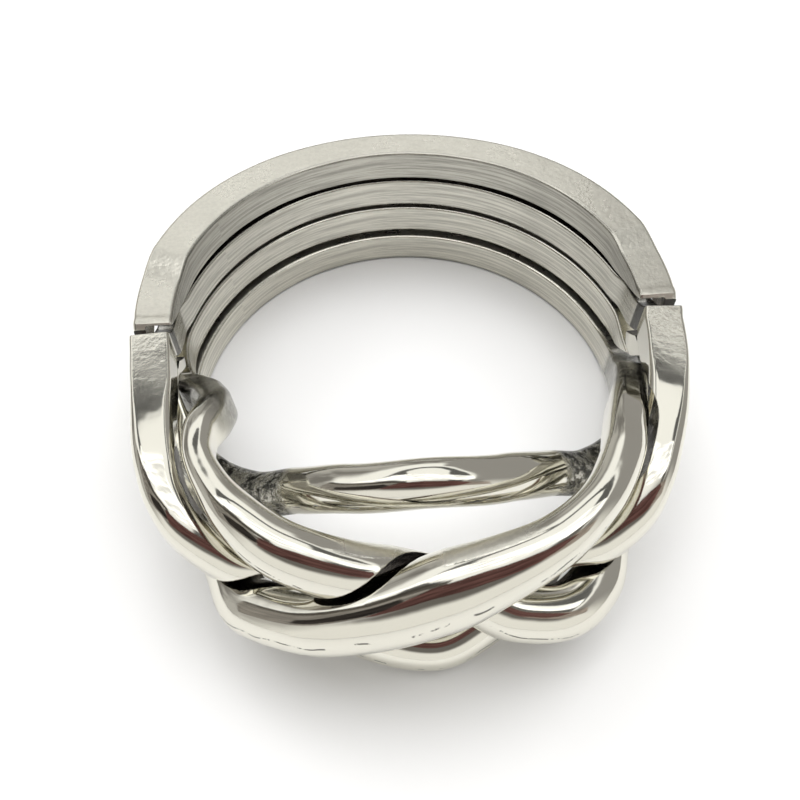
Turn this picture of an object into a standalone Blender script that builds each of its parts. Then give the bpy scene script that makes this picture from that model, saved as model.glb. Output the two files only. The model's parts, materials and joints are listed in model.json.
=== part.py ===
"""Metal ring disentanglement puzzle: four loose closed bands that stack into one ring.

Each band is a closed loop.  At the back the four loops are square in section and lie
flat on one another.  At the front they round into strands that weave over and under
each other as a knot, and where two bands cross closely the inner one is half-lapped.
Lengths are metres, +Z is up, the knot faces -Y and the ring stands on its lower side.
"""

import math

import bmesh
import bpy
from mathutils import Vector

MM = 0.001

# Driving dimensions, in millimetres.
OUTER_RADIUS = 21.5
BAND_WIDTH = 2.9          # radial width of a band at the back
BAND_HEIGHT = 2.85        # height of a band at the back
STACK_GAP = 0.4           # rattle space between two stacked bands
CLEARANCE = 0.52          # free space cut around a band where another crosses it

# The ring's own axis stands this far from the origin, which is under the middle of the
# whole puzzle, knot included.
RING_AXIS = Vector((0.0, 1.67, -0.012))

# A loose band has no pin.  These points lie on the lines it turns about when it moves.
ARCH_PIVOT = (0.0, -4.0, 6.0)
FALLING_PIVOT = (3.0, -29.0, 4.7)
RISING_PIVOT = (11.0, -15.0, 1.4)

MID_RADIUS = OUTER_RADIUS - BAND_WIDTH / 2
PITCH = BAND_HEIGHT + STACK_GAP
HALF_WIDTH = BAND_WIDTH / 2
HALF_HEIGHT = BAND_HEIGHT / 2
LEVEL_4 = HALF_HEIGHT                # mid-height of the lowest band in the stack
LEVEL_3 = LEVEL_4 + PITCH
LEVEL_2 = LEVEL_3 + PITCH
LEVEL_1 = LEVEL_2 + PITCH            # mid-height of the top band

SQUARE = 8.0              # superellipse power of the stacked, square part of a band
ROUND = 2.2               # superellipse power of a polished strand
LOWER_SHANK_INSET = 0.5   # the lowest band sits a little inside the other three

SECTION_POINTS = 12       # points around one cross-section
FRONT_REACH = 111         # sections are close together from -FRONT_REACH to +FRONT_REACH
FRONT_STEP = 3            # degrees
BACK_STEPS = 20           # sections around the plain part at the back
CUTTER_SHIFT = 1.3        # degrees a cutter's sections are turned from the band's own
SLOT_ANGLE = 88.0         # the upper step of the cradle band ends here, on both sides
SLOT_STEP = 0.5           # degrees over which that step drops away
SLOT_GAP = 0.7            # slot opened from where that step starts to drop
SLOT_BLOCK = (5.0, 1.0, 4.0)         # radial, along and upward size of the slot cutter
SLOT_FLOOR = 8.95         # height the slot is cut down to
LAP_RADIUS = 18.75        # the thin inner half of the cradle band, just behind the slot
LAP_HALF_WIDTH = 0.68
LAP_END_ANGLE = 101       # the inner half reaches the second level here
LAP_END_RADIUS = 19.3
LAP_END_HEIGHT = 8.4
LAP_SLOPE = 0.2           # millimetres it climbs per degree from there to the slot

# A station is (angle, radius, height, half width, half height, squareness).
# Angles are degrees from the middle of the front, positive to the right.
PLAIN_1 = (MID_RADIUS, LEVEL_1, HALF_WIDTH, HALF_HEIGHT, SQUARE)
PLAIN_2 = (MID_RADIUS, LEVEL_2, HALF_WIDTH, HALF_HEIGHT, SQUARE)
PLAIN_3 = (MID_RADIUS, LEVEL_3, HALF_WIDTH, HALF_HEIGHT, SQUARE)
PLAIN_4 = (MID_RADIUS - LOWER_SHANK_INSET, LEVEL_4, HALF_WIDTH, HALF_HEIGHT, SQUARE)

# Half of the arch band: top of the stack, then down inside the knot and up in front.
ARCH_HALF = [
    (0, 15.20, 12.50, 1.60, 1.65, 2.4),
    (20, 15.25, 10.90, 1.60, 1.65, 2.4),
    (34, 15.65, 8.70, 1.55, 1.60, 2.4),
    (47, 16.95, 6.20, 1.50, 1.55, 2.6),
    (60, 18.25, 5.15, 1.40, 1.45, 3.0),
    (70, 19.20, 6.00, 1.45, 1.45, 4.0),
    (79, 19.70, 7.45, 1.45, 1.45, 7.0),
    (85, 19.60, 7.85, 1.45, 1.45, SQUARE),
    (90.5, 19.50, 9.45, 1.47, 2.60, SQUARE),
    (94, 19.60, 10.72, 1.50, 1.37, SQUARE),
    (104.8, 19.95, 10.90, 1.57, 1.20, SQUARE),
    (105.4, 19.97, 10.91, 1.58, 1.21, SQUARE),
    (111.4, 20.12, 11.16, 1.60, 1.41, SQUARE),
    (112.0, 20.13, LEVEL_1, 1.60, HALF_HEIGHT, SQUARE),
    (130, 20.25, LEVEL_1, 1.62, HALF_HEIGHT, SQUARE),
    (145, 20.15, LEVEL_1, 1.58, HALF_HEIGHT, SQUARE),
    (165, 19.90, LEVEL_1, 1.50, HALF_HEIGHT, SQUARE),
    (180, 19.85, LEVEL_1, HALF_WIDTH, HALF_HEIGHT, SQUARE),
]

LAP_ANGLE = SLOT_ANGLE + SLOT_STEP
LAP_HEIGHT = LAP_END_HEIGHT + LAP_SLOPE * (LAP_END_ANGLE - LAP_ANGLE)

# Cradle band: second in the stack, over the top step, then under the knot.
# It bulges further out on the left than on the right.
CRADLE = [
    (-180,) + PLAIN_2,
    (-108,) + PLAIN_2,
    (-LAP_END_ANGLE, LAP_END_RADIUS, LAP_END_HEIGHT, LAP_HALF_WIDTH, HALF_HEIGHT, SQUARE),
    (-LAP_ANGLE, LAP_RADIUS, LAP_HEIGHT, LAP_HALF_WIDTH, HALF_HEIGHT, SQUARE),
    (-SLOT_ANGLE, 19.55, LEVEL_1, HALF_WIDTH, HALF_HEIGHT, SQUARE),
    (-83, 19.50, LEVEL_1, HALF_WIDTH, HALF_HEIGHT, SQUARE),
    (-75, 19.70, LEVEL_1, HALF_WIDTH, HALF_HEIGHT, SQUARE),
    (-68, 20.30, 11.15, 1.45, 1.45, 5.0),
    (-62, 21.00, 11.05, 1.48, 1.52, 3.4),
    (-57, 21.65, 10.85, 1.50, 1.60, 3.0),
    (-51, 22.40, 10.45, 1.48, 1.63, 2.6),
    (-46, 22.70, 9.75, 1.45, 1.65, 2.5),
    (-38, 22.20, 7.85, 1.50, 1.70, 2.3),
    (-27, 20.20, 5.00, 1.70, 1.70, ROUND),
    (-12, 21.90, 2.70, 1.80, 1.85, ROUND),
    (0, 22.30, 1.82, 1.80, 1.85, ROUND),
    (11, 21.20, 2.70, 1.80, 1.85, ROUND),
    (25, 20.00, 5.00, 1.70, 1.70, ROUND),
    (35, 21.50, 7.45, 1.50, 1.70, 2.3),
    (41, 21.80, 8.90, 1.48, 1.68, 2.4),
    (47, 21.40, 10.00, 1.45, 1.65, 2.5),
    (53, 20.75, 10.60, 1.47, 1.62, 2.8),
    (60, 20.15, 10.95, 1.48, 1.55, 3.2),
    (67, 19.70, 11.15, 1.45, 1.45, 5.0),
    (75, 19.40, LEVEL_1, HALF_WIDTH, HALF_HEIGHT, SQUARE),
    (83, 19.30, LEVEL_1, HALF_WIDTH, HALF_HEIGHT, SQUARE),
    (SLOT_ANGLE, 19.45, LEVEL_1, HALF_WIDTH, HALF_HEIGHT, SQUARE),
    (LAP_ANGLE, LAP_RADIUS, LAP_HEIGHT, LAP_HALF_WIDTH, HALF_HEIGHT, SQUARE),
    (LAP_END_ANGLE, LAP_END_RADIUS, LAP_END_HEIGHT, LAP_HALF_WIDTH, HALF_HEIGHT, SQUARE),
    (108,) + PLAIN_2,
    (180,) + PLAIN_2,
]

# Falling band: third in the stack, hooks up on the left, falls to the lower right.
FALLING = [
    (-180,) + PLAIN_3,
    (-105,) + PLAIN_3,
    (-92, 19.10, 4.90, 1.35, 1.45, 6.0),
    (-83, 17.40, 6.30, 1.30, 1.45, 4.0),
    (-75, 16.20, 8.00, 1.25, 1.50, 3.0),
    (-67, 15.95, 9.90, 1.25, 1.55, 2.8),
    (-61, 16.70, 11.30, 1.22, 1.60, 2.5),
    (-56, 18.35, 12.10, 1.10, 1.55, 2.4),
    (-52, 19.25, 12.20, 1.02, 1.55, 2.4),
    (-45, 20.05, 12.30, 1.15, 1.62, 2.3),
    (-37, 20.75, 12.40, 1.52, 1.78, ROUND),
    (-26, 21.30, 12.00, 1.88, 1.92, ROUND),
    (-16, 21.00, 10.85, 2.00, 2.00, ROUND),
    (-7, 20.45, 9.45, 1.95, 2.00, ROUND),
    (3, 20.40, 7.70, 1.90, 1.90, ROUND),
    (14, 22.55, 5.75, 1.95, 1.95, ROUND),
    (23, 23.50, 5.05, 1.95, 1.95, ROUND),
    (30, 22.90, 4.70, 1.90, 1.90, ROUND),
    (38, 21.20, 4.20, 1.70, 1.80, 2.3),
    (48, 19.95, 3.90, 1.55, 1.70, 2.8),
    (60, 19.80, 4.00, 1.45, 1.55, 4.0),
    (78, 19.80, 4.60, 1.45, 1.45, 6.0),
    (92, 19.58, LEVEL_3, HALF_WIDTH, HALF_HEIGHT, SQUARE),
    (105,) + PLAIN_3,
    (180,) + PLAIN_3,
]

# Rising band: lowest in the stack, bulges out on the left, rises over the front.
RISING = [
    (-180,) + PLAIN_4,
    (-80,) + PLAIN_4,
    (-60, 19.80, 2.00, 1.50, 1.50, 5.0),
    (-48, 20.40, 3.25, 1.60, 1.70, 3.0),
    (-39, 22.10, 4.95, 1.80, 1.90, 2.3),
    (-31, 23.60, 6.00, 2.00, 2.00, ROUND),
    (-22, 23.65, 7.30, 2.05, 2.10, ROUND),
    (-10, 22.90, 9.25, 2.30, 2.30, ROUND),
    (1, 22.00, 10.75, 2.55, 2.55, ROUND),
    (10, 21.70, 11.95, 2.15, 2.20, ROUND),
    (20, 21.40, 12.60, 1.70, 1.85, ROUND),
    (30, 20.70, 12.90, 1.42, 1.70, ROUND),
    (42, 19.30, 12.60, 1.42, 1.60, 2.4),
    (52, 18.05, 11.50, 1.42, 1.60, 2.8),
    (63, 17.40, 9.80, 1.30, 1.60, 3.0),
    (75, 17.50, 7.50, 1.20, 1.60, 3.4),
    (86, 18.15, 4.50, 1.20, 1.50, 5.0),
    (98, 19.25, 2.00, 1.40, 1.45, 7.0),
    (108,) + PLAIN_4,
    (180,) + PLAIN_4,
]


def both_sides(half):
    """Mirror a half list of stations (front to back, 0 to 180) into a whole turn."""
    left = [(-station[0],) + station[1:] for station in reversed(half)]
    return left + half[1:]


def clear_scene():
    """Start from an empty file."""
    for old in list(bpy.data.objects):
        bpy.data.objects.remove(old, do_unlink=True)
    for old in list(bpy.data.collections):
        bpy.data.collections.remove(old)


def new_collection(name):
    """Make a collection under the scene's own one."""
    made = bpy.data.collections.new(name)
    bpy.context.scene.collection.children.link(made)
    return made


def metal(name, colour, roughness):
    """A metal with one base colour."""
    made = bpy.data.materials.new(name)
    made.use_nodes = True
    shader = made.node_tree.nodes["Principled BSDF"]
    shader.inputs["Base Color"].default_value = colour + (1.0,)
    shader.inputs["Metallic"].default_value = 1.0
    shader.inputs["Roughness"].default_value = roughness
    return made


def slope_at(before, here, after, span_before, span_after):
    """Slope of a curve at one station that never overshoots the stations beside it."""
    rise_before = (here - before) / span_before
    rise_after = (after - here) / span_after
    if rise_before * rise_after <= 0:
        return 0.0
    weight_before = 2 * span_after + span_before
    weight_after = span_after + 2 * span_before
    total = weight_before + weight_after
    return total / (weight_before / rise_before + weight_after / rise_after)


def station_between(stations, angle):
    """Radius, height, half width, half height and squareness at any angle."""
    loop = stations[:-1]
    count = len(loop)
    turned = (angle + 180) % 360 - 180
    here = max(k for k in range(count) if loop[k][0] <= turned + 1e-9)
    around = []
    for k in range(here - 1, here + 3):
        whole_turns = k // count
        station = loop[k % count]
        around.append((station[0] + 360 * whole_turns,) + tuple(station[1:]))
    first, start, end, last = around
    span = end[0] - start[0]
    share = (turned - start[0]) / span
    values = []
    for k in range(1, 6):
        span_before = start[0] - first[0]
        span_after = last[0] - end[0]
        slope_start = slope_at(first[k], start[k], end[k], span_before, span)
        slope_end = slope_at(start[k], end[k], last[k], span, span_after)
        value = (1 + 2 * share) * (1 - share) ** 2 * start[k]
        value += share * (1 - share) ** 2 * span * slope_start
        value += share ** 2 * (3 - 2 * share) * end[k]
        value += share ** 2 * (share - 1) * span * slope_end
        values.append(value)
    return values


def point_on_path(stations, angle):
    """Middle of the band at an angle."""
    radius, height = station_between(stations, angle)[:2]
    turn = math.radians(angle)
    return Vector((radius * math.sin(turn), -radius * math.cos(turn), height))


def section_axes(stations, angle, squareness):
    """The sideways and upward directions of a cross-section.

    A square section stands upright.  A round one leans over to face along its strand.
    """
    turn = math.radians(angle)
    outward = Vector((math.sin(turn), -math.cos(turn), 0.0))
    tangent = Vector((math.cos(turn), math.sin(turn), 0.0))
    step = point_on_path(stations, angle + 0.5) - point_on_path(stations, angle - 0.5)
    lean = min(max((5.0 - squareness) / 2.0, 0.0), 1.0)
    straight = tangent * step.dot(tangent)
    along = straight + (step - straight) * lean
    along.normalize()
    sideways = outward - along * outward.dot(along)
    sideways.normalize()
    upward = sideways.cross(along)
    if upward.z < 0:
        upward = -upward
    return sideways, upward


def section_ring(stations, angle, growth):
    """The points of one cross-section, in order around it."""
    values = station_between(stations, angle)
    half_width = values[2] + growth
    half_height = values[3] + growth
    squareness = values[4]
    middle = point_on_path(stations, angle)
    sideways, upward = section_axes(stations, angle, squareness)
    points = []
    for k in range(SECTION_POINTS):
        turn = 2 * math.pi * (k + 0.5) / SECTION_POINTS
        across = math.copysign(abs(math.cos(turn)) ** (2 / squareness), math.cos(turn))
        up = math.copysign(abs(math.sin(turn)) ** (2 / squareness), math.sin(turn))
        points.append(middle + sideways * half_width * across + upward * half_height * up)
    return points


def section_angles(shift, has_slots):
    """Close sections around the knot, wider apart on the plain back."""
    angles = list(range(-FRONT_REACH, FRONT_REACH + 1, FRONT_STEP))
    back = 360 - 2 * FRONT_REACH
    angles += [FRONT_REACH + back * k / BACK_STEPS for k in range(1, BACK_STEPS)]
    angles = [angle + shift for angle in angles]
    if has_slots:
        angles += [-LAP_ANGLE, -SLOT_ANGLE, SLOT_ANGLE, LAP_ANGLE]
    return sorted(angles)


def band_solid(name, stations, pivot, collection, growth=0.0, shift=0.0):
    """Loft a closed band through its stations, with its origin at the pivot (mm)."""
    centre = Vector(pivot)
    mesh = bpy.data.meshes.new(name)
    shape = bmesh.new()
    rings = []
    for angle in section_angles(shift, stations[-1][1:] == PLAIN_2):
        points = section_ring(stations, angle, growth)
        rings.append([shape.verts.new((point - centre) * MM) for point in points])
    for k, ring in enumerate(rings):
        following = rings[(k + 1) % len(rings)]
        for j in range(SECTION_POINTS):
            beside = (j + 1) % SECTION_POINTS
            shape.faces.new((ring[j], ring[beside], following[beside], following[j]))
    bmesh.ops.recalc_face_normals(shape, faces=shape.faces)
    bmesh.ops.triangulate(shape, faces=shape.faces)
    shape.to_mesh(mesh)
    shape.free()
    made = bpy.data.objects.new(name, mesh)
    made.location = (centre + RING_AXIS) * MM
    collection.objects.link(made)
    return made


def hide_cutter(made):
    """Keep a cutter out of the render."""
    made.hide_render = True
    made.display_type = "WIRE"
    return made


def space_around(name, stations, collection):
    """The space a band needs around itself."""
    made = band_solid(name, stations, (0, 0, 0), collection, CLEARANCE, CUTTER_SHIFT)
    return hide_cutter(made)


def slot_cutter(name, side, collection):
    """A block that opens the slot between the step of the cradle band and the arch."""
    mesh = bpy.data.meshes.new(name)
    shape = bmesh.new()
    bmesh.ops.create_cube(shape, size=1.0)
    radial, along, upward = SLOT_BLOCK
    bmesh.ops.scale(shape, vec=(radial * MM, along * MM, upward * MM), verts=shape.verts)
    shape.to_mesh(mesh)
    shape.free()
    made = bpy.data.objects.new(name, mesh)
    turn = math.radians(side * SLOT_ANGLE)
    outward = Vector((math.sin(turn), -math.cos(turn), 0.0))
    backward = Vector((math.cos(turn), math.sin(turn), 0.0)) * side
    middle = outward * MID_RADIUS + backward * (SLOT_GAP - along / 2)
    middle.z = SLOT_FLOOR + upward / 2
    made.location = (middle + RING_AXIS) * MM
    made.rotation_euler = (0.0, 0.0, turn - math.pi / 2)
    collection.objects.link(made)
    return hide_cutter(made)


def half_lap(band, cutter):
    """Cut the room for a crossing band out of this one."""
    cut = band.modifiers.new("half_lap_" + cutter.name, "BOOLEAN")
    cut.operation = "DIFFERENCE"
    cut.solver = "EXACT"
    cut.object = cutter


def build():
    clear_scene()
    parts = new_collection("four_band_ring_puzzle")
    cutters = new_collection("cutters")

    arch_path = both_sides(ARCH_HALF)

    arch = band_solid("arch_band", arch_path, ARCH_PIVOT, parts)
    cradle = band_solid("cradle_band", CRADLE, (0, 0, LEVEL_2), parts)
    falling = band_solid("falling_band", FALLING, FALLING_PIVOT, parts)
    rising = band_solid("rising_band", RISING, RISING_PIVOT, parts)

    arch.data.materials.append(metal("nickel_arch", (0.74, 0.73, 0.71), 0.22))
    cradle.data.materials.append(metal("nickel_cradle", (0.73, 0.72, 0.70), 0.20))
    falling.data.materials.append(metal("nickel_falling", (0.72, 0.71, 0.69), 0.18))
    rising.data.materials.append(metal("nickel_rising", (0.74, 0.73, 0.70), 0.19))

    around_cradle = space_around("space_around_cradle", CRADLE, cutters)
    around_falling = space_around("space_around_falling", FALLING, cutters)
    around_rising = space_around("space_around_rising", RISING, cutters)
    left_slot = slot_cutter("slot_left", -1, cutters)
    right_slot = slot_cutter("slot_right", 1, cutters)

    half_lap(arch, left_slot)
    half_lap(arch, right_slot)
    half_lap(arch, around_cradle)
    half_lap(arch, around_falling)
    half_lap(arch, around_rising)
    half_lap(cradle, around_falling)
    half_lap(cradle, around_rising)
    half_lap(falling, around_rising)


build()
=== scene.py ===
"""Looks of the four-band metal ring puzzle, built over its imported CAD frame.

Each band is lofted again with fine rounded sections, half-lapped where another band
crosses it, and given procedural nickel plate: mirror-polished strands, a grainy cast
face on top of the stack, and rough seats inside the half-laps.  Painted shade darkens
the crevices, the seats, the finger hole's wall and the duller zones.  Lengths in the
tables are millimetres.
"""

import json
import math

import bmesh
import bpy
import numpy as np
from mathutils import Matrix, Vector

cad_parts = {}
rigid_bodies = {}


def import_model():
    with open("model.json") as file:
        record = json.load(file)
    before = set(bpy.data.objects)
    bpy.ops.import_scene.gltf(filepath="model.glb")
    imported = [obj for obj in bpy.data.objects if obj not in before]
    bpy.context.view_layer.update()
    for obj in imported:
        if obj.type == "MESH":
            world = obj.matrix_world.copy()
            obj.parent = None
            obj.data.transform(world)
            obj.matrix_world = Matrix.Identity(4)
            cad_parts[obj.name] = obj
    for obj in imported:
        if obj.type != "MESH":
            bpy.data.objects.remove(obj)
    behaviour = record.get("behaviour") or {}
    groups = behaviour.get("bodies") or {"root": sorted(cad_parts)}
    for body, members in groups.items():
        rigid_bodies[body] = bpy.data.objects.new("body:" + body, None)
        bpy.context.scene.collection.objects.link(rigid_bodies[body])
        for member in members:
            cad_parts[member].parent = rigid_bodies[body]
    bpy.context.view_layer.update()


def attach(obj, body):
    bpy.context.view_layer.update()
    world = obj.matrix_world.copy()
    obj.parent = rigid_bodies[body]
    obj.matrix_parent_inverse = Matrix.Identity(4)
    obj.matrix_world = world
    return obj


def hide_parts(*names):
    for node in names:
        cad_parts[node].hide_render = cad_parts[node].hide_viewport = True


MM = 0.001
RING_AXIS = np.array([0.0, 1.67, -0.012])   # the ring's own axis, from the origin

OUTER_RADIUS = 21.5
BAND_WIDTH = 2.9
BAND_HEIGHT = 2.85
STACK_GAP = 0.4
CLEARANCE = 0.60          # room round a band in the half-laps that hold it
CUTTER_SHIFT = 0.45       # degrees; keeps a cutter's edges off those of the band it cuts
LOWER_SHANK_INSET = 0.5

MID_RADIUS = OUTER_RADIUS - BAND_WIDTH / 2
HALF_WIDTH = BAND_WIDTH / 2
HALF_HEIGHT = BAND_HEIGHT / 2
PITCH = BAND_HEIGHT + STACK_GAP
LEVEL_4 = HALF_HEIGHT
LEVEL_3 = LEVEL_4 + PITCH
LEVEL_2 = LEVEL_3 + PITCH
LEVEL_1 = LEVEL_2 + PITCH

CRISP = 0.16              # corner rounding of the stacked bands, as a share of half size
ROUND = 1.0               # a fully rounded strand
CORNER_POINTS = 9         # points along each rounded corner of a section
FRONT_REACH = 126
FRONT_STEP = 1.0
BACK_STEP = 2.5

LEFT_SLOT = 87.0
RIGHT_SLOT = 86.2
SLOT_STEP = 0.5
ARCH_END = 90.0           # where the arch band's top face ends, beyond each slot
LAP_RADIUS = 18.75
LAP_HALF_WIDTH = 0.68
LAP_END_ANGLE = 101
LAP_END_RADIUS = 19.3
LAP_END_HEIGHT = 8.4
LAP_HEIGHT = 10.9
SLOT_FLOOR = 8.95
SLOT_SIZE = (5.0, 1.65, 4.0)   # radial, along the band, upward

# A station is (angle, radius, height, half width, half height, corner rounding).
PLAIN_1 = (MID_RADIUS, LEVEL_1, HALF_WIDTH, HALF_HEIGHT, CRISP)
PLAIN_2 = (MID_RADIUS, LEVEL_2, HALF_WIDTH, HALF_HEIGHT, CRISP)
PLAIN_3 = (MID_RADIUS, LEVEL_3, HALF_WIDTH, HALF_HEIGHT, CRISP)
PLAIN_4 = (MID_RADIUS - LOWER_SHANK_INSET, LEVEL_4, HALF_WIDTH, HALF_HEIGHT, CRISP)

ARCH_HALF = [
    (0, 15.20, 12.50, 1.60, 1.65, 0.90),
    (20, 15.25, 10.90, 1.60, 1.65, 0.90),
    (34, 15.65, 8.70, 1.55, 1.60, 0.90),
    (47, 16.95, 6.20, 1.50, 1.55, 0.80),
    (60, 18.25, 5.15, 1.40, 1.45, 0.60),
    (70, 19.20, 6.00, 1.45, 1.45, 0.40),
    (79, 19.70, 7.45, 1.45, 1.45, 0.22),
    (85, 19.60, 7.85, 1.45, 1.45, CRISP),
    (90.5, 19.50, 9.45, 1.47, 2.60, CRISP),
    (94, 19.60, 10.72, 1.50, 1.37, CRISP),
    (104.8, 19.95, 10.90, 1.57, 1.20, CRISP),
    (105.4, 19.97, 10.91, 1.58, 1.21, CRISP),
    (111.4, 20.12, 11.16, 1.60, 1.41, CRISP),
    (112.0, 20.13, LEVEL_1, 1.60, HALF_HEIGHT, CRISP),
    (130, 20.25, LEVEL_1, 1.62, HALF_HEIGHT, CRISP),
    (145, 20.15, LEVEL_1, 1.58, HALF_HEIGHT, CRISP),
    (165, 19.90, LEVEL_1, 1.50, HALF_HEIGHT, CRISP),
    (180, 19.85, LEVEL_1, HALF_WIDTH, HALF_HEIGHT, CRISP),
]

CRADLE = [
    (-180,) + PLAIN_2,
    (-108,) + PLAIN_2,
    (-LAP_END_ANGLE, LAP_END_RADIUS, LAP_END_HEIGHT, LAP_HALF_WIDTH, HALF_HEIGHT, CRISP),
    (-LEFT_SLOT - SLOT_STEP, LAP_RADIUS, LAP_HEIGHT, LAP_HALF_WIDTH, HALF_HEIGHT, CRISP),
    (-LEFT_SLOT, 19.55, LEVEL_1, HALF_WIDTH, HALF_HEIGHT, CRISP),
    (-83, 19.50, LEVEL_1, HALF_WIDTH, HALF_HEIGHT, CRISP),
    (-75, 19.70, LEVEL_1, HALF_WIDTH, HALF_HEIGHT, CRISP),
    (-68, 20.30, 11.15, 1.45, 1.45, 0.35),
    (-62, 21.00, 11.05, 1.48, 1.52, 0.50),
    (-57, 21.65, 10.85, 1.50, 1.60, 0.65),
    (-51, 22.40, 10.45, 1.48, 1.63, 0.80),
    (-46, 22.70, 9.75, 1.45, 1.65, 0.85),
    (-38, 22.20, 7.85, 1.50, 1.70, 0.95),
    (-27, 20.20, 5.00, 1.70, 1.70, ROUND),
    (-12, 21.90, 2.70, 1.80, 1.85, ROUND),
    (0, 22.30, 1.82, 1.80, 1.80, ROUND),
    (11, 21.20, 2.70, 1.80, 1.85, ROUND),
    (25, 20.00, 5.00, 1.70, 1.70, ROUND),
    (35, 21.50, 7.45, 1.50, 1.70, 0.95),
    (41, 21.80, 8.90, 1.48, 1.68, 0.90),
    (47, 21.40, 10.00, 1.45, 1.65, 0.85),
    (53, 20.75, 10.60, 1.47, 1.62, 0.75),
    (60, 20.15, 10.95, 1.48, 1.55, 0.55),
    (67, 19.70, 11.15, 1.45, 1.45, 0.35),
    (75, 19.40, LEVEL_1, HALF_WIDTH, HALF_HEIGHT, CRISP),
    (83, 19.30, LEVEL_1, HALF_WIDTH, HALF_HEIGHT, CRISP),
    (RIGHT_SLOT, 19.45, LEVEL_1, HALF_WIDTH, HALF_HEIGHT, CRISP),
    (RIGHT_SLOT + SLOT_STEP, LAP_RADIUS, LAP_HEIGHT, LAP_HALF_WIDTH, HALF_HEIGHT, CRISP),
    (LAP_END_ANGLE, LAP_END_RADIUS, LAP_END_HEIGHT, LAP_HALF_WIDTH, HALF_HEIGHT, CRISP),
    (108,) + PLAIN_2,
    (180,) + PLAIN_2,
]

FALLING = [
    (-180,) + PLAIN_3,
    (-105,) + PLAIN_3,
    (-92, 19.10, 4.90, 1.35, 1.45, 0.25),
    (-83, 17.40, 6.30, 1.30, 1.45, 0.45),
    (-75, 16.20, 8.00, 1.25, 1.50, 0.60),
    (-67, 15.95, 9.90, 1.25, 1.55, 0.75),
    (-61, 16.70, 11.30, 1.22, 1.60, 0.85),
    (-56, 18.35, 12.10, 1.10, 1.55, 0.90),
    (-52, 19.25, 12.20, 1.02, 1.55, 0.92),
    (-45, 20.05, 12.30, 1.15, 1.62, 0.95),
    (-37, 20.75, 12.40, 1.52, 1.78, ROUND),
    (-26, 21.30, 12.00, 1.88, 1.92, ROUND),
    (-16, 21.00, 10.85, 2.00, 2.00, ROUND),
    (-7, 20.45, 9.45, 1.95, 2.00, ROUND),
    (3, 20.40, 7.70, 1.90, 1.90, ROUND),
    (14, 22.55, 5.75, 1.95, 1.95, ROUND),
    (23, 23.50, 5.05, 1.95, 1.95, ROUND),
    (30, 22.90, 4.70, 1.90, 1.90, ROUND),
    (38, 21.20, 4.20, 1.70, 1.80, 0.95),
    (48, 19.95, 3.90, 1.55, 1.70, 0.70),
    (60, 19.80, 4.00, 1.45, 1.55, 0.40),
    (78, 19.80, 4.60, 1.45, 1.45, 0.25),
    (92, 19.58, LEVEL_3, HALF_WIDTH, HALF_HEIGHT, CRISP),
    (105,) + PLAIN_3,
    (180,) + PLAIN_3,
]

RISING = [
    (-180,) + PLAIN_4,
    (-80,) + PLAIN_4,
    (-60, 19.80, 2.00, 1.50, 1.50, 0.30),
    (-48, 20.40, 3.25, 1.60, 1.70, 0.65),
    (-39, 22.10, 4.95, 1.80, 1.90, 0.95),
    (-31, 23.60, 6.00, 2.00, 2.00, ROUND),
    (-22, 23.65, 7.30, 2.05, 2.10, ROUND),
    (-10, 22.90, 9.25, 2.30, 2.30, ROUND),
    (1, 22.00, 10.75, 2.55, 2.55, ROUND),
    (10, 21.70, 11.95, 2.15, 2.20, ROUND),
    (20, 21.40, 12.60, 1.70, 1.85, ROUND),
    (30, 20.70, 12.90, 1.42, 1.70, ROUND),
    (42, 19.30, 12.60, 1.42, 1.60, 0.90),
    (52, 18.05, 11.50, 1.42, 1.60, 0.75),
    (63, 17.40, 9.80, 1.30, 1.60, 0.65),
    (75, 17.50, 7.50, 1.20, 1.60, 0.50),
    (86, 18.15, 4.50, 1.20, 1.50, 0.30),
    (98, 19.25, 2.00, 1.40, 1.45, 0.20),
    (108,) + PLAIN_4,
    (180,) + PLAIN_4,
]


def both_sides(half):
    """Mirror a half list of stations (0 to 180 degrees) into a whole turn."""
    left = [(-station[0],) + station[1:] for station in reversed(half)]
    return left + half[1:]


def curve_slopes(spots, values):
    """Slope at each station that never overshoots the stations beside it."""
    spans = np.diff(spots)[:, None]
    rises = np.diff(values, axis=0) / spans
    slopes = np.zeros_like(values)
    before, after = rises[:-1], rises[1:]
    weight_before = 2 * spans[1:] + spans[:-1]
    weight_after = spans[1:] + 2 * spans[:-1]
    same_way = before * after > 0
    safe_before = np.where(same_way, before, 1.0)
    safe_after = np.where(same_way, after, 1.0)
    blended = weight_before / safe_before + weight_after / safe_after
    slopes[1:-1] = np.where(same_way, (weight_before + weight_after) / blended, 0.0)
    return slopes


def stations_at(stations, angles):
    """Radius, height, half width, half height and rounding at each angle."""
    loop = np.array(stations[:-1], float)
    spots = np.concatenate([loop[-3:, 0] - 360, loop[:, 0], loop[:3, 0] + 360])
    values = np.concatenate([loop[-3:], loop, loop[:3]])[:, 1:]
    slopes = curve_slopes(spots, values)
    turned = (np.asarray(angles, float) + 180) % 360 - 180
    here = np.clip(np.searchsorted(spots, turned, side="right") - 1, 0, len(spots) - 2)
    span = (spots[here + 1] - spots[here])[:, None]
    share = (turned - spots[here])[:, None] / span
    start = (1 + 2 * share) * (1 - share) ** 2 * values[here]
    start += share * (1 - share) ** 2 * span * slopes[here]
    end = share ** 2 * (3 - 2 * share) * values[here + 1]
    end += share ** 2 * (share - 1) * span * slopes[here + 1]
    return start + end


def path_points(stations, angles):
    """Middle of the band at each angle."""
    found = stations_at(stations, angles)
    turn = np.radians(angles)
    columns = [found[:, 0] * np.sin(turn), -found[:, 0] * np.cos(turn), found[:, 1]]
    return np.stack(columns, axis=1)


def unit(rows):
    """Each row scaled to length one."""
    return rows / np.linalg.norm(rows, axis=1)[:, None]


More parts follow.
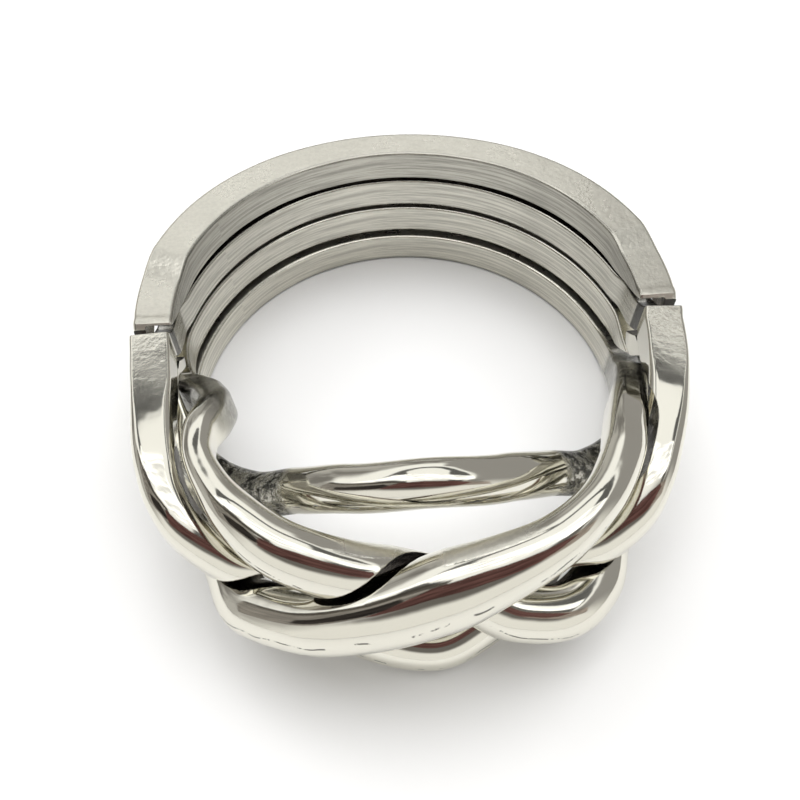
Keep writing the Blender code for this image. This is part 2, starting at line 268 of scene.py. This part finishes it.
def section_axes(stations, angles, rounding):
    """Sideways and upward directions: square sections stand upright, round ones lean."""
    turn = np.radians(angles)
    flat = np.zeros_like(turn)
    outward = np.stack([np.sin(turn), -np.cos(turn), flat], axis=1)
    tangent = np.stack([np.cos(turn), np.sin(turn), flat], axis=1)
    step = path_points(stations, angles + 0.5) - path_points(stations, angles - 0.5)
    lean = np.clip((rounding - 0.3) / 0.35, 0.0, 1.0)[:, None]
    straight = tangent * np.sum(step * tangent, axis=1)[:, None]
    along = unit(straight + (step - straight) * lean)
    sideways = unit(outward - along * np.sum(outward * along, axis=1)[:, None])
    upward = np.cross(sideways, along)
    upward *= np.sign(upward[:, 2])[:, None]
    return sideways, upward


def section_outline(half_width, half_height, rounding):
    """A rectangle with rounded corners, as across and up offsets in order."""
    corner = rounding * min(half_width, half_height)
    points = []
    for quarter in range(4):
        middle_turn = math.pi / 4 + quarter * math.pi / 2
        across_sign = math.copysign(1.0, math.cos(middle_turn))
        up_sign = math.copysign(1.0, math.sin(middle_turn))
        for k in range(CORNER_POINTS):
            turn = quarter * math.pi / 2 + (math.pi / 2) * k / (CORNER_POINTS - 1)
            across = across_sign * (half_width - corner) + corner * math.cos(turn)
            up = up_sign * (half_height - corner) + corner * math.sin(turn)
            points.append((across, up))
    return np.array(points)


def section_angles(shift, has_slots):
    """Fine steps round the knot, wider ones at the back, and both edges of each slot."""
    front = np.arange(-FRONT_REACH, FRONT_REACH + 0.01, FRONT_STEP)
    back = np.arange(FRONT_REACH + BACK_STEP, 360 - FRONT_REACH - 0.01, BACK_STEP)
    angles = np.concatenate([front, back]) + shift
    if has_slots:
        left = [-LEFT_SLOT - SLOT_STEP, -LEFT_SLOT]
        right = [RIGHT_SLOT, RIGHT_SLOT + SLOT_STEP]
        angles = np.append(angles, left + right)
    return np.sort(angles)


def turns_round(outline, half_width, half_height):
    """How far round the section each point is: 0 outside, 0.25 on top, 0.5 inside."""
    turns = np.arctan2(outline[:, 1] / half_height, outline[:, 0] / half_width)
    turns = turns / (2 * math.pi) % 1.0
    turns[-1] += 1.0 if turns[-1] < 0.5 else 0.0
    return turns


def band_mesh(name, stations, growth=0.0, shift=0.0):
    """Loft a closed band through its stations.

    Its map "spread" holds how far along the band and how far round it a point is.
    """
    angles = section_angles(shift, stations[-1][1:] == PLAIN_2)
    found = stations_at(stations, angles)
    middles = path_points(stations, angles) + RING_AXIS
    sideways, upward = section_axes(stations, angles, found[:, 4])
    shape = bmesh.new()
    spread = shape.loops.layers.uv.new("spread")
    rings, turns = [], []
    for k in range(len(angles)):
        half_width, half_height = found[k, 2] + growth, found[k, 3] + growth
        outline = section_outline(half_width, half_height, found[k, 4])
        points = middles[k] + outline[:, :1] * sideways[k] + outline[:, 1:] * upward[k]
        rings.append([shape.verts.new(Vector(point * MM)) for point in points])
        turns.append(turns_round(outline, half_width, half_height))
    count = len(rings[0])
    for k in range(len(rings)):
        after = (k + 1) % len(rings)
        start, end = angles[k] / 360, angles[after] / 360
        end += 1.0 if after == 0 else 0.0
        for j in range(count):
            beside = (j + 1) % count
            wrap = 1.0 if beside == 0 and turns[k][j] > 0.5 else 0.0
            corners = (rings[k][j], rings[k][beside], rings[after][beside], rings[after][j])
            face = shape.faces.new(corners)
            places = (
                (start, turns[k][j]), (start, turns[k][beside] + wrap),
                (end, turns[after][beside] + wrap), (end, turns[after][j]),
            )
            for loop, uv in zip(face.loops, places):
                loop[spread].uv = uv
    bmesh.ops.remove_doubles(shape, verts=shape.verts, dist=1e-7)
    bmesh.ops.recalc_face_normals(shape, faces=shape.faces)
    mesh = bpy.data.meshes.new(name)
    shape.to_mesh(mesh)
    shape.free()
    return mesh


def new_object(name, mesh):
    """Link a mesh into the scene."""
    made = bpy.data.objects.new(name, mesh)
    bpy.context.scene.collection.objects.link(made)
    return made


def cutter(name, mesh, material):
    """A body that is only cut with."""
    made = new_object(name, mesh)
    made.data.materials.append(material)
    return made


def slot_block(name, side, material):
    """Opens the slot: it ends at the arch band's end and starts under the cradle's step."""
    radial, along, upward = SLOT_SIZE
    shape = bmesh.new()
    bmesh.ops.create_cube(shape, size=1.0)
    size = Vector((radial * MM, along * MM, upward * MM))
    bmesh.ops.scale(shape, vec=size, verts=shape.verts)
    turn = math.radians(side * ARCH_END)
    outward = np.array([math.sin(turn), -math.cos(turn), 0.0])
    backward = np.array([math.cos(turn), math.sin(turn), 0.0]) * side
    middle = outward * MID_RADIUS - backward * along / 2
    middle = middle + RING_AXIS + np.array([0.0, 0.0, SLOT_FLOOR + upward / 2])
    for vert in shape.verts:
        local = vert.co
        placed = Vector(outward) * local.x + Vector(backward) * local.y
        vert.co = placed + Vector((0, 0, local.z)) + Vector(middle * MM)
    bmesh.ops.recalc_face_normals(shape, faces=shape.faces)
    mesh = bpy.data.meshes.new(name)
    shape.to_mesh(mesh)
    shape.free()
    return cutter(name, mesh, material)


def cut(band, tools):
    """Take each tool out of the band and keep the result as its own mesh."""
    for tool in tools:
        step = band.modifiers.new("half_lap_" + tool.name, "BOOLEAN")
        step.operation = "DIFFERENCE"
        step.solver = "EXACT"
        step.material_mode = "TRANSFER"
        step.object = tool
    bpy.context.view_layer.update()
    seen = band.evaluated_get(bpy.context.evaluated_depsgraph_get())
    mesh = bpy.data.meshes.new_from_object(seen)
    band.modifiers.clear()
    band.data = mesh


def smooth_with_edges(band, angle=math.radians(32)):
    """Shade smooth, but keep cut edges sharp and flat faces flat."""
    mesh = band.data
    mesh.shade_smooth()
    mesh.set_sharp_from_angle(angle=angle)
    flatten = band.modifiers.new("flat_faces", "WEIGHTED_NORMAL")
    flatten.keep_sharp = True


def add_node(tree, kind, inputs, **properties):
    """A new node: each input is linked to the socket, or set to the value, given for it."""
    made = tree.nodes.new(kind)
    for key, value in properties.items():
        setattr(made, key, value)
    for key, value in inputs.items():
        if isinstance(value, bpy.types.NodeSocket):
            tree.links.new(value, made.inputs[key])
        else:
            made.inputs[key].default_value = value
    return made


def math_node(tree, operation, first, second=0.0):
    """The result socket of one sum."""
    made = add_node(tree, "ShaderNodeMath", {0: first, 1: second}, operation=operation)
    return made.outputs["Value"]


def ramp_node(tree, value, low, high, at_low, at_high):
    """Go smoothly from at_low to at_high while the value goes from low to high."""
    made = add_node(
        tree, "ShaderNodeMapRange",
        {"Value": value, "From Min": low, "From Max": high,
         "To Min": at_low, "To Max": at_high},
        interpolation_type="SMOOTHSTEP",
    )
    return made.outputs["Result"]


def noise_node(tree, place, scale, detail, rough=0.5):
    """The height socket of a noise."""
    made = add_node(
        tree, "ShaderNodeTexNoise",
        {"Vector": place, "Scale": scale, "Detail": detail, "Roughness": rough},
    )
    return made.outputs["Fac"]


def blend_colour(tree, share, first, second):
    """The colour socket of a mix from first to second."""
    made = tree.nodes.new("ShaderNodeMix")
    made.data_type = "RGBA"
    colours = [socket for socket in made.inputs if socket.type == "RGBA"]
    tree.links.new(share, made.inputs["Factor"])
    for socket, value in zip(colours, (first, second)):
        if isinstance(value, bpy.types.NodeSocket):
            tree.links.new(value, socket)
        else:
            socket.default_value = tuple(value) + (1.0,)
    return [socket for socket in made.outputs if socket.type == "RGBA"][0]


def new_material(name):
    """A new material with only its shader and output."""
    made = bpy.data.materials.new(name)
    made.use_nodes = True
    tree = made.node_tree
    return made, tree, tree.nodes["Principled BSDF"]


def scaled(colour, factor):
    """A darker or lighter colour."""
    return tuple(factor * part for part in colour)


NICKEL = (0.77, 0.75, 0.665)
# The first share is the darkest painted shade in crevices; the second is the casting line's own
# tone.
CREVICE_SHADE_TONE = 0.14       # shares of NICKEL
LINE_TONE = 0.18
POLISHED_ROUGHNESS = 0.05
INNER_ROUGHNESS = 0.15    # added on the finger hole's wall
DULL_ROUGHNESS = 0.16     # added in the dull zones
SOFT_EDGE = 0.10 * MM
BUMP_DEPTH = 0.022 * MM

TOP = 0.25                # turns round a section from its outermost point
LEDGE = 0.36
INSIDE = 0.5

# How each band's plate differs from the others.
#   grain       angles between which the cast top face starts, its roughness, its unevenness
#   wall        darkest and lightest tone of the finger hole's wall, darkened as painted shade
#   dull_shade  darkest and lightest painted shade of the duller zones, and how deep they are
#   pitted dull_shade_zones  angles at which each starts, is full, is full last and ends
#   ledge       the same four angles for the strand's inner shoulder, where it is left as cast
#   parting     turns up from the widest point at which the casting line runs
PLATES = {
    "arch": {
        "grain": (87.0, 88.5, 0.22, 1.0),
        "wall": (0.36, 0.66),
        "dull_shade": (0.07, 0.60, 3.0),
        "dull_shade_zones": [(-68, -62, -37, -34), (34, 37, 62, 68)],
    },
    "cradle": {
        "grain": (66.0, 76.0, 0.05, 0.35),
        "wall": (0.50, 0.86),
        # near black by the slots: painted shadow where the cradle runs into them
        "dull_shade": (0.03, 0.09, 0.0),
        "dull_shade_zones": [(-92, -90.8, -87.4, -87.2), (86.5, 86.7, 90.8, 92)],
    },
    "falling": {
        "grain": (90.0, 100.0, 0.22, 1.0),
        "wall": (0.60, 1.0),
        "dull_shade": (0.30, 0.48, 0.2),
        "dull_shade_zones": [(-88, -82, -62, -56)],
        "ledge": (-22, -16, 2, 5),
    },
    "rising": {
        "grain": (90.0, 100.0, 0.22, 1.0),
        "wall": (0.68, 1.05),
        "dull_shade": (0.24, 0.50, 0.5),
        "dull_shade_zones": [(58, 66, 90, 96)],
        "ledge": (1, 4, 14, 22),
        "parting": 0.05,
    },
}


def zone_mask(tree, angle, zone):
    """One between the two middle angles of a zone, fading to nothing at its ends."""
    start, full, last, end = zone
    risen = ramp_node(tree, angle, start, full, 0.0, 1.0)
    fallen = ramp_node(tree, angle, last, end, 1.0, 0.0)
    return math_node(tree, "MULTIPLY", risen, fallen)


def near(tree, value, middle, full, end):
    """One within full of the middle, fading to nothing at end."""
    distance = math_node(tree, "ABSOLUTE", math_node(tree, "SUBTRACT", value, middle))
    return ramp_node(tree, distance, full, end, 1.0, 0.0)


def cast_mask(tree, around, angle, grain, ledge):
    """Where the plate is left as cast: the top face past its start, and the ledge."""
    on_top = near(tree, around, TOP, 0.105, 0.125)
    either_side = math_node(tree, "ABSOLUTE", angle)
    past_start = ramp_node(tree, either_side, grain[0], grain[1], 0.0, 1.0)
    cast = math_node(tree, "MULTIPLY", on_top, past_start)
    if ledge is None:
        return cast
    on_shoulder = near(tree, around, LEDGE, 0.070, 0.085)
    on_ledge = math_node(tree, "MULTIPLY", on_shoulder, zone_mask(tree, angle, ledge))
    return math_node(tree, "MAXIMUM", cast, on_ledge)


def shaded_wall_mask(tree, around, angle):
    """Where the band is the wall of the finger hole, which the plate darkens as painted shade.
    """
    on_inside = near(tree, around, INSIDE, 0.12, 0.15)
    either_side = math_node(tree, "ABSOLUTE", angle)
    in_shank = ramp_node(tree, either_side, 88.0, 94.0, 0.0, 1.0)
    return math_node(tree, "MULTIPLY", on_inside, in_shank)


def dull_shade_mask(tree, angle, zones):
    """Where the plate is rougher, pitted and painted darker as shade: the strongest of the
    zones.
    """
    dull_shade = zone_mask(tree, angle, zones[0])
    for zone in zones[1:]:
        dull_shade = math_node(tree, "MAXIMUM", dull_shade, zone_mask(tree, angle, zone))
    return dull_shade


def line_mask(tree, place, around, parting):
    """A broken, slightly wandering casting line along the outside of the band."""
    wobble = ramp_node(tree, noise_node(tree, place, 300.0, 2.0), 0.3, 0.7, -0.012, 0.012)
    line_place = math_node(tree, "ADD", around, wobble)
    turned = math_node(tree, "FRACT", math_node(tree, "ADD", line_place, 0.5 - parting))
    on_line = near(tree, turned, 0.5, 0.002, 0.007)
    broken = ramp_node(tree, noise_node(tree, place, 700.0, 4.0, 0.7), 0.50, 0.58, 0.0, 1.0)
    return math_node(tree, "MULTIPLY", on_line, broken)


def shaded_wall_colour(tree, spread, wall):
    """Painted shade on the finger hole's wall, between its two tones, in stains drawn out along
    the band.
    """
    streaked = add_node(
        tree, "ShaderNodeMapping", {"Vector": spread, "Scale": (14.0, 40.0, 1.0)}
    ).outputs["Vector"]
    stain = ramp_node(tree, noise_node(tree, streaked, 1.0, 4.0, 0.7), 0.35, 0.65, 0.0, 1.0)
    return blend_colour(tree, stain, scaled(NICKEL, wall[0]), scaled(NICKEL, wall[1]))


def paint_crevice_shade(tree, plate):
    """Painted shade where the metal is closed in, darkest in the tightest crevices."""
    occlusion = add_node(
        tree, "ShaderNodeAmbientOcclusion", {"Distance": 0.8 * MM}, samples=6
    ).outputs["AO"]
    unshaded = ramp_node(tree, occlusion, 0.20, 0.75, 0.0, 1.0)
    return blend_colour(tree, unshaded, scaled(NICKEL, CREVICE_SHADE_TONE), plate)


def total(tree, sockets):
    """The sum of several sockets."""
    result = sockets[0]
    for socket in sockets[1:]:
        result = math_node(tree, "ADD", result, socket)
    return result


def nickel_plate(name, grain, wall, dull_shade, dull_shade_zones, ledge=None, parting=0.02):
    """Nickel plate on a band, mirror polished but for what PLATES says."""
    made, tree, shader = new_material(name)
    shader.inputs["Metallic"].default_value = 1.0
    place = tree.nodes.new("ShaderNodeTexCoord").outputs["Object"]
    spread = add_node(tree, "ShaderNodeUVMap", {}, uv_map="spread").outputs["UV"]
    parts = add_node(tree, "ShaderNodeSeparateXYZ", {"Vector": spread})
    around = parts.outputs["Y"]
    angle = math_node(tree, "MULTIPLY", parts.outputs["X"], 360.0)
    cast = cast_mask(tree, around, angle, grain, ledge)
    satin_shaded_wall = shaded_wall_mask(tree, around, angle)
    in_dull_shade_zone = dull_shade_mask(tree, angle, dull_shade_zones)
    line = line_mask(tree, place, around, parting)

    cloud = noise_node(tree, place, 260.0, 5.0, 0.6)
    sand = noise_node(tree, place, 3600.0, 4.0, 0.6)
    peel = noise_node(tree, place, 1700.0, 2.0)
    pits = ramp_node(tree, noise_node(tree, place, 1300.0, 4.0, 0.7), 0.42, 0.60, 0.0, 1.0)

    plate = blend_colour(tree, cloud, scaled(NICKEL, 0.93), NICKEL)
    cast_tone = blend_colour(tree, sand, scaled(NICKEL, 0.80), scaled(NICKEL, 1.10))
    plate = blend_colour(tree, cast, plate, cast_tone)
    # painted shade on the finger hole's wall, mottled in streaks
    plate = blend_colour(tree, satin_shaded_wall, plate, shaded_wall_colour(tree, spread, wall))
    # the duller zones: painted shade over a pitted plate
    dull_shade_tone = blend_colour(tree, pits, scaled(NICKEL, dull_shade[0]), scaled(NICKEL, dull_shade[1]))
    plate = blend_colour(tree, in_dull_shade_zone, plate, dull_shade_tone)
    plate = blend_colour(tree, line, plate, scaled(NICKEL, LINE_TONE))
    # painted shade in the crevices, over the plate's colour
    tree.links.new(paint_crevice_shade(tree, plate), shader.inputs["Base Color"])

    gloss = total(tree, [
        ramp_node(tree, cloud, 0.35, 0.70, POLISHED_ROUGHNESS, POLISHED_ROUGHNESS + 0.05),
        math_node(tree, "MULTIPLY", cast, grain[2]),
        math_node(tree, "MULTIPLY", satin_shaded_wall, INNER_ROUGHNESS),
        math_node(tree, "MULTIPLY", in_dull_shade_zone, DULL_ROUGHNESS),
    ])
    tree.links.new(gloss, shader.inputs["Roughness"])

    grit = math_node(tree, "ADD", math_node(tree, "MULTIPLY", peel, 1.3), sand)
    grit = math_node(tree, "MULTIPLY", grit, grain[3])
    height = total(tree, [
        math_node(tree, "MULTIPLY", noise_node(tree, place, 380.0, 2.0), 0.9),
        math_node(tree, "MULTIPLY", cast, grit),
        math_node(tree, "MULTIPLY", math_node(tree, "MULTIPLY", satin_shaded_wall, peel), 0.7),
        math_node(tree, "MULTIPLY", math_node(tree, "MULTIPLY", in_dull_shade_zone, pits), dull_shade[2]),
    ])
    height = math_node(tree, "SUBTRACT", height, line)
    soft_edge = add_node(
        tree, "ShaderNodeBevel", {"Radius": SOFT_EDGE}, samples=6
    ).outputs["Normal"]
    bump = add_node(
        tree, "ShaderNodeBump",
        {"Height": height, "Normal": soft_edge, "Distance": BUMP_DEPTH, "Strength": 1.0},
    )
    tree.links.new(bump.outputs["Normal"], shader.inputs["Normal"])
    return made


def shaded_cast_seat(name, dark, light):
    """The rough floor and walls of a half-lap or slot, between two shares of nickel, with
    painted shade going to near black where they are closed in.
    """
    made, tree, shader = new_material(name)
    shader.inputs["Metallic"].default_value = 1.0
    place = tree.nodes.new("ShaderNodeTexCoord").outputs["Object"]
    cloud = noise_node(tree, place, 500.0, 4.0, 0.6)
    peel = noise_node(tree, place, 1400.0, 3.0)
    occlusion = add_node(
        tree, "ShaderNodeAmbientOcclusion", {"Distance": 1.8 * MM}, samples=6
    ).outputs["AO"]
    tone = blend_colour(tree, cloud, scaled(NICKEL, dark), scaled(NICKEL, light))
    unshaded = ramp_node(tree, occlusion, 0.10, 0.75, 0.0, 1.0)
    # painted shade: near black where the seat is closed in
    tone = blend_colour(tree, unshaded, (0.030, 0.022, 0.020), tone)
    tree.links.new(tone, shader.inputs["Base Color"])
    gloss = ramp_node(tree, cloud, 0.3, 0.7, 0.18, 0.38)
    tree.links.new(gloss, shader.inputs["Roughness"])
    bump = add_node(
        tree, "ShaderNodeBump", {"Height": peel, "Distance": 0.035 * MM, "Strength": 1.0}
    )
    tree.links.new(bump.outputs["Normal"], shader.inputs["Normal"])
    return made


def build_band(name, node, body, stations, tools, materials):
    """One band: loft, half-laps, materials, and the CAD node it stands for."""
    band = new_object(name, band_mesh(name, stations))
    for material in materials:
        band.data.materials.append(material)
    cut(band, tools)
    smooth_with_edges(band)
    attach(band, body)
    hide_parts(node)
    return band


def build_bands():
    """The four bands and the bodies that cut their half-laps."""
    # Seats darker than the plate as painted shade; the second, near black, is painted shadow in
    # the slots and round the cradle.
    seat = shaded_cast_seat("shaded_cast_seat", 0.25, 0.65)
    painted_shadow_seat = shaded_cast_seat("painted_shadow_seat", 0.03, 0.09)
    space = {}
    for key, stations in (
        ("cradle", CRADLE), ("falling", FALLING), ("rising", RISING)
    ):
        mesh = band_mesh("space_" + key, stations, CLEARANCE, CUTTER_SHIFT)
        space[key] = cutter("space_" + key, mesh, painted_shadow_seat if key == "cradle" else seat)
    slots = [slot_block("slot_left", -1, painted_shadow_seat), slot_block("slot_right", 1, painted_shadow_seat)]

    plates = {key: nickel_plate(key + "_nickel", **look) for key, look in PLATES.items()}
    arch_tools = slots + [space["cradle"], space["falling"], space["rising"]]
    build_band("arch_band_fine", "arch_band", "arch",
               both_sides(ARCH_HALF), arch_tools, (plates["arch"], seat, painted_shadow_seat))
    build_band("cradle_band_fine", "cradle_band", "cradle",
               CRADLE, [space["falling"], space["rising"]], (plates["cradle"], seat))
    build_band("falling_band_fine", "falling_band", "falling",
               FALLING, [space["rising"]], (plates["falling"], seat))
    build_band("rising_band_fine", "rising_band", "rising",
               RISING, [], (plates["rising"], seat))
    for tool in list(space.values()) + slots:
        bpy.data.objects.remove(tool, do_unlink=True)


FLOOR_LEVEL = -0.02 * MM
FLOOR_REACH = 0.8
BACKDROP_RADIUS = 0.7


def build_floor():
    """A plain pale floor."""
    shape = bmesh.new()
    bmesh.ops.create_grid(shape, x_segments=1, y_segments=1, size=FLOOR_REACH)
    mesh = bpy.data.meshes.new("floor")
    shape.to_mesh(mesh)
    shape.free()
    floor = new_object("floor", mesh)
    floor.location.z = FLOOR_LEVEL
    made, tree, shader = new_material("pale_floor")
    place = tree.nodes.new("ShaderNodeTexCoord").outputs["Object"]
    tone = ramp_node(tree, noise_node(tree, place, 40.0, 2.0), 0.3, 0.7, 0.90, 0.92)
    tree.links.new(tone, shader.inputs["Base Color"])
    shader.inputs["Roughness"].default_value = 0.8
    floor.data.materials.append(made)


def build_backdrop():
    """A plain pale dome behind everything that only the camera sees."""
    shape = bmesh.new()
    bmesh.ops.create_uvsphere(shape, u_segments=48, v_segments=24, radius=BACKDROP_RADIUS)
    mesh = bpy.data.meshes.new("backdrop")
    shape.to_mesh(mesh)
    shape.free()
    backdrop = new_object("backdrop", mesh)
    made = bpy.data.materials.new("pale_backdrop")
    made.use_nodes = True
    tree = made.node_tree
    tree.nodes.clear()
    glow = add_node(tree, "ShaderNodeEmission", {"Color": (0.95, 0.95, 0.95, 1.0)})
    end = tree.nodes.new("ShaderNodeOutputMaterial")
    tree.links.new(glow.outputs["Emission"], end.inputs["Surface"])
    backdrop.data.materials.append(made)
    backdrop.visible_diffuse = False
    backdrop.visible_glossy = False
    backdrop.visible_transmission = False
    backdrop.visible_shadow = False


AZIMUTH = math.radians(-4.5)
ELEVATION = math.radians(54.7)
DISTANCE = 0.0559
AIM = Vector((-0.00138, -0.00685, 0.01259))
AWAY = Vector((
    math.sin(AZIMUTH) * math.cos(ELEVATION),
    -math.cos(AZIMUTH) * math.cos(ELEVATION),
    math.sin(ELEVATION),
))
RIGHT = Vector((math.cos(AZIMUTH), math.sin(AZIMUTH), 0.0))
UP = AWAY.cross(RIGHT)
EYE = AIM + AWAY * DISTANCE


# Cards that stand round the lens.  Each has its outline as (right, up) millimetres from
# the lens, its colour, and how far behind the lens it stands.
CARDS = {
    "lens_card": (
        [(-45, -12), (-30, 14), (0, 14), (25, 10), (45, 6), (60, -2), (40, -18), (0, -16)],
        (0.12, 0.060, 0.055), 2.0,
    ),
    "black_card": (
        [(-100, -6), (-100, 16), (-45, 16), (-35, 2), (-45, -8)],
        (0.035, 0.030, 0.028), 2.4,
    ),
    "strip_card": (
        [(-180, 110), (-100, 56), (-20, 22), (-20, 12), (-100, 40), (-185, 92)],
        (0.10, 0.09, 0.08), 2.8,
    ),
    "fade_card": (
        [(45, 8), (95, -2), (100, -22), (60, -20), (40, -18)],
        (0.35, 0.30, 0.27), 3.2,
    ),
    "grey_card": (
        [(-190, -20), (-190, 95), (-100, 44), (-30, 14), (-45, -12)],
        (0.28, 0.26, 0.24), 3.6,
    ),
    "white_card": (
        [(-110, 68), (-20, 28), (40, 16), (70, 20), (80, 50), (20, 60), (-60, 100)],
        (1.60, 1.60, 1.60), 4.0,
    ),
}


def card_glow(name, colour):
    """The light a card gives, uneven in long streaks."""
    made = bpy.data.materials.new(name)
    made.use_nodes = True
    tree = made.node_tree
    tree.nodes.clear()
    place = tree.nodes.new("ShaderNodeTexCoord").outputs["Object"]
    drawn_out = add_node(
        tree, "ShaderNodeMapping", {"Vector": place, "Scale": (30.0, 160.0, 1.0)}
    ).outputs["Vector"]
    streaks = ramp_node(tree, noise_node(tree, drawn_out, 1.0, 3.0, 0.6), 0.35, 0.65, 0.0, 1.0)
    tone = blend_colour(tree, streaks, scaled(colour, 0.6), scaled(colour, 1.4))
    glow = add_node(tree, "ShaderNodeEmission", {"Color": tone})
    end = tree.nodes.new("ShaderNodeOutputMaterial")
    tree.links.new(glow.outputs["Emission"], end.inputs["Surface"])
    return made


def reflector_card(name, outline, colour, behind):
    """A flat card round the lens that shows only in reflections."""
    shape = bmesh.new()
    corners = [shape.verts.new((right * MM, up * MM, 0.0)) for right, up in outline]
    shape.faces.new(corners)
    mesh = bpy.data.meshes.new(name)
    shape.to_mesh(mesh)
    shape.free()
    card = new_object(name, mesh)
    card.location = EYE + AWAY * (behind * MM)
    card.rotation_euler = (-AWAY).to_track_quat("-Z", "Y").to_euler()
    card.data.materials.append(card_glow(name, colour))
    card.visible_camera = False
    card.visible_diffuse = False
    card.visible_shadow = False


def soft_box(name, place, aim, size, power):
    """A soft box that faces its aim point and leaves no reflection of its own."""
    data = bpy.data.lights.new(name, "AREA")
    data.shape = "RECTANGLE"
    data.size, data.size_y = size
    data.energy = power
    lamp = bpy.data.objects.new(name, data)
    lamp.location = place
    lamp.rotation_euler = (Vector(aim) - Vector(place)).to_track_quat("-Z", "Y").to_euler()
    lamp.visible_glossy = False
    bpy.context.scene.collection.objects.link(lamp)


def front_dome(tree, height):
    """In front the dome is bright low down and dim above."""
    low = ramp_node(tree, height, 0.45, 0.62, 1.0, 0.0)
    return blend_colour(tree, low, (0.17, 0.16, 0.15), (1.00, 0.99, 0.96))


def rear_dome(tree, place, height, sideways):
    """Behind it is uneven grey low down and bright above, with dark parts.

    The dark parts are a beam right across, a shade above that on each side, and the low
    right.
    """
    clutter = ramp_node(tree, noise_node(tree, place, 2.6, 3.0, 0.6), 0.40, 0.60, 0.0, 1.0)
    low_tone = blend_colour(tree, clutter, (0.24, 0.23, 0.22), (0.55, 0.54, 0.52))
    risen = ramp_node(tree, height, 0.46, 0.58, 0.0, 1.0)
    tone = blend_colour(tree, risen, low_tone, (1.20, 1.20, 1.19))
    beam = zone_mask(tree, height, (0.738, 0.748, 0.798, 0.808))
    tone = blend_colour(tree, beam, tone, (0.14, 0.14, 0.14))
    on_left = ramp_node(tree, sideways, -0.285, -0.255, 1.0, 0.0)
    on_right = ramp_node(tree, sideways, 0.36, 0.40, 0.0, 1.0)
    side = math_node(tree, "MAXIMUM", on_left, on_right)
    shade = math_node(tree, "MULTIPLY", side, zone_mask(tree, height, (0.79, 0.80, 0.87, 0.92)))
    tone = blend_colour(tree, shade, tone, (0.14, 0.14, 0.14))
    right = ramp_node(tree, sideways, 0.24, 0.34, 0.0, 1.0)
    dim = math_node(tree, "MULTIPLY", right, ramp_node(tree, height, 0.68, 0.72, 1.0, 0.0))
    return blend_colour(tree, dim, tone, (0.36, 0.35, 0.34))


def studio_world():
    """The dome of light that the polished metal mirrors."""
    world = bpy.data.worlds.new("studio")
    bpy.context.scene.world = world
    world.use_nodes = True
    tree = world.node_tree
    back = tree.nodes["Background"]
    place = tree.nodes.new("ShaderNodeTexCoord").outputs["Generated"]
    parts = add_node(tree, "ShaderNodeSeparateXYZ", {"Vector": place})
    height = parts.outputs["Z"]
    front = ramp_node(tree, parts.outputs["Y"], -0.55, -0.10, 1.0, 0.0)
    rear_tone = rear_dome(tree, place, height, parts.outputs["X"])
    tone = blend_colour(tree, front, rear_tone, front_dome(tree, height))
    tree.links.new(tone, back.inputs["Color"])
    back.inputs["Strength"].default_value = 1.0


def build_light():
    """Soft studio light: a dome and two soft boxes high behind the ring."""
    studio_world()
    middle = (0.0, 0.0, 0.008)
    soft_box("soft_left", (-0.14, 0.16, 0.40), middle, (0.40, 0.40), 0.95)
    soft_box("soft_right", (0.20, 0.10, 0.40), middle, (0.40, 0.40), 0.95)


def build_camera():
    """The photograph's viewing angle, close up, so the perspective is strong."""
    data = bpy.data.cameras.new("camera")
    data.sensor_width = 36.0
    data.lens = 36.0
    data.clip_start = 0.001
    camera = bpy.data.objects.new("camera", data)
    camera.location = EYE
    camera.rotation_euler = (-AWAY).to_track_quat("-Z", "Y").to_euler()
    bpy.context.scene.collection.objects.link(camera)
    bpy.context.scene.camera = camera


for leftover in list(bpy.data.objects):
    bpy.data.objects.remove(leftover, do_unlink=True)

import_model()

build_bands()
build_floor()
build_backdrop()
for card_name, (outline, colour, behind) in CARDS.items():
    reflector_card(card_name, outline, colour, behind)
build_light()
build_camera()
bpy.context.scene.view_settings.view_transform = "Standard"
